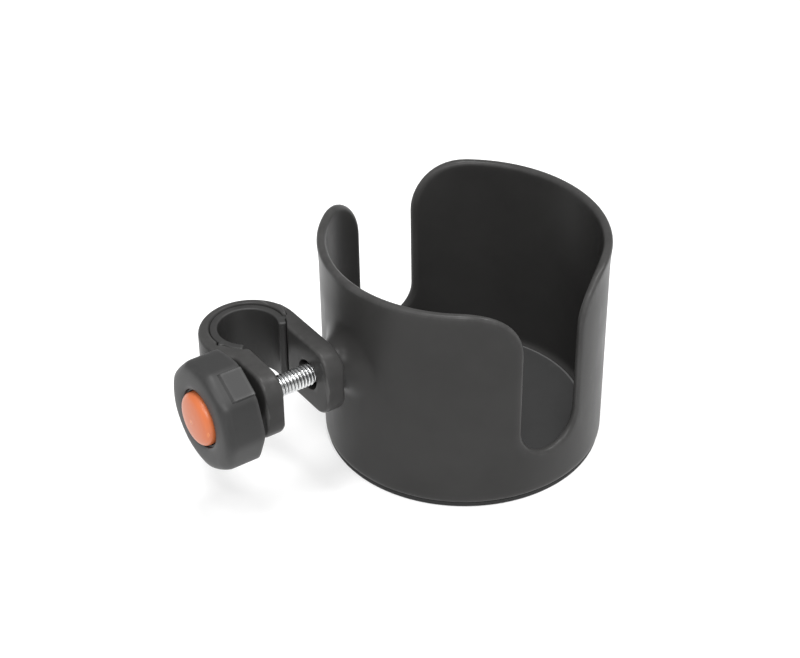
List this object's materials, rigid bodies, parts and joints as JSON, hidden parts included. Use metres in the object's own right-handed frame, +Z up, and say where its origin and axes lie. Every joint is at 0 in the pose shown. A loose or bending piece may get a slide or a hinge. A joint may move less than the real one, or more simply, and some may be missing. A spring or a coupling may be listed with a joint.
{
  "type": "tube clamp cup holder",
  "caption": "Round plastic cup holder with two handle slots and a rubber-lined screw clamp on a swivel, tightened by a faceted hand knob.",
  "frame": {"origin": "centre of the cup's base, on the surface it stands on", "axes": "+Z up along the cup, -X from the cup towards the clamp and knob, the handle slots at +Y and -Y"},
  "size_m": [0.1276, 0.0788, 0.064],
  "materials": {
    "cup_plastic": "satin moulded",
    "knob_plastic": "fine spark texture",
    "pad_rubber": "matte",
    "liner_rubber": "matte",
    "zinc_steel": "bright zinc plated",
    "cap_plastic": "satin orange",
    "nylon": "plain"
  },
  "bodies": {
    "cup": {"cup_body": "cup_plastic", "base_pad": "pad_rubber", "floor_mat": "pad_rubber", "swivel_ring": "nylon", "clamp_bolt": "zinc_steel"},
    "clamp": {"clamp_body": "cup_plastic", "clamp_liner": "liner_rubber"},
    "washer": {"thrust_washer": "nylon"},
    "knob": {"knob_body": "knob_plastic", "knob_nut": "zinc_steel", "knob_cap": "cap_plastic"}
  },
  "joints": [
    {"name": "clamp_swivel", "type": "hinge", "parent": "cup", "child": "clamp", "pos_m": [-0.0454, 0, 0.0382], "axis": [-1, 0, 0], "continuous": true},
    {"name": "knob_advance", "type": "slide", "parent": "cup", "child": "washer", "axis": [-1, 0, 0], "range_m": [0, 0.004]},
    {"name": "knob_turn", "type": "hinge", "parent": "washer", "child": "knob", "pos_m": [-0.0739, 0, 0.0382], "axis": [-1, 0, 0], "range_deg": [0, 1440]}
  ],
  "couplings": [
    {"joint": "knob_advance", "follows": "knob_turn", "m_per_rad": 0.00015915}
  ]
}
